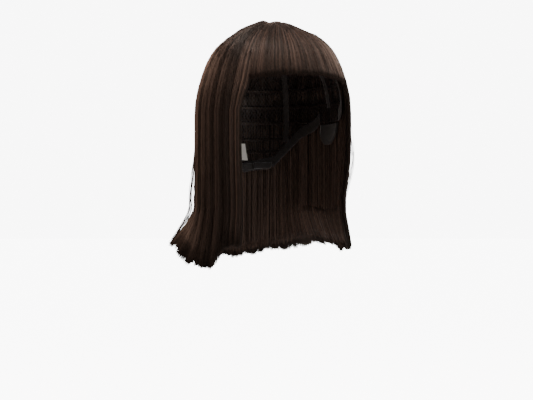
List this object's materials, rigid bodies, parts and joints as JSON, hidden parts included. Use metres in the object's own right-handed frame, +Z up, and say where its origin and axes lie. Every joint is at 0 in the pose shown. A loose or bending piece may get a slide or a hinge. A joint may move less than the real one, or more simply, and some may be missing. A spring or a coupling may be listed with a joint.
{
  "type": "costume wig",
  "caption": "Straight dark-brown bob wig with blunt bangs on a stretch-net cap, with lifting hair sections, folding ear tabs and sliding nape adjusters.",
  "frame": {"origin": "centre of the head that wears the wig, level with the brow", "axes": "+Z up through the crown, -Y towards the face, +X towards the wearer's left"},
  "size_m": [0.217, 0.2086, 0.2886],
  "materials": {
    "fibre": "satin",
    "weft_thread": "matt",
    "net": "matt",
    "tape": "matt",
    "skin_top": "matt",
    "label": "satin",
    "stay_steel": "satin"
  },
  "bodies": {
    "cap": {"crown_patch": "skin_top", "net_front": "net", "net_left": "net", "net_back": "net", "net_right": "net", "seam_tape_front_left": "tape", "seam_tape_back_left": "tape", "seam_tape_back_right": "tape", "seam_tape_front_right": "tape", "ribbon_left": "tape", "ribbon_back": "tape", "ribbon_right": "tape", "front_band": "tape", "nape_band": "tape", "strap_channel_left": "tape", "strap_channel_right": "tape", "loop_tape_left": "net", "loop_tape_right": "net", "size_label": "label", "weft_row_1": "weft_thread", "weft_row_2": "weft_thread", "weft_row_3": "weft_thread", "weft_row_4": "weft_thread", "weft_row_5": "weft_thread", "weft_row_6": "weft_thread", "weft_row_7": "weft_thread", "weft_row_8": "weft_thread", "weft_ring_1": "weft_thread", "weft_ring_2": "weft_thread", "weft_bangs_1": "weft_thread", "weft_bangs_2": "weft_thread", "weft_bangs_3": "weft_thread", "hair_crown": "fibre", "hair_under_left": "fibre", "hair_under_right": "fibre", "hair_under_back": "fibre"},
    "bangs": {"hair_bangs": "fibre"},
    "side_left": {"hair_left": "fibre"},
    "side_right": {"hair_right": "fibre"},
    "back": {"hair_back": "fibre"},
    "tab_left": {"ear_tab_left": "tape", "ear_lining_left": "net", "ear_stay_left": "stay_steel"},
    "tab_right": {"ear_tab_right": "tape", "ear_lining_right": "net", "ear_stay_right": "stay_steel"},
    "adjuster_left": {"strap_left": "tape", "hook_tape_left": "net"},
    "adjuster_right": {"strap_right": "tape", "hook_tape_right": "net"}
  },
  "joints": [
    {"name": "bangs_lift", "type": "hinge", "parent": "cap", "child": "bangs", "pos_m": [0, -0.05, 0.0971], "axis": [-1, 0, 0], "range_deg": [0, 65]},
    {"name": "side_left_lift", "type": "hinge", "parent": "cap", "child": "side_left", "pos_m": [0.062, 0, 0.0774], "axis": [0, -1, 0], "range_deg": [0, 55]},
    {"name": "side_right_lift", "type": "hinge", "parent": "cap", "child": "side_right", "pos_m": [-0.062, 0, 0.0774], "axis": [0, 1, 0], "range_deg": [0, 55]},
    {"name": "back_lift", "type": "hinge", "parent": "cap", "child": "back", "pos_m": [0, 0.06, 0.091], "axis": [1, 0, 0], "range_deg": [0, 55]},
    {"name": "tab_left_fold", "type": "hinge", "parent": "cap", "child": "tab_left", "pos_m": [0.0785, 0, -0.008], "axis": [0, 1, 0], "range_deg": [0, 40]},
    {"name": "tab_right_fold", "type": "hinge", "parent": "cap", "child": "tab_right", "pos_m": [-0.0785, 0, -0.008], "axis": [0, -1, 0], "range_deg": [0, 40]},
    {"name": "strap_left_slide", "type": "hinge", "parent": "cap", "child": "adjuster_left", "pos_m": [0, 0.026, -0.0578], "axis": [0, 0, 1], "range_deg": [0, 11]},
    {"name": "strap_right_slide", "type": "hinge", "parent": "cap", "child": "adjuster_right", "pos_m": [0, 0.026, -0.0578], "axis": [0, 0, -1], "range_deg": [0, 11]}
  ]
}
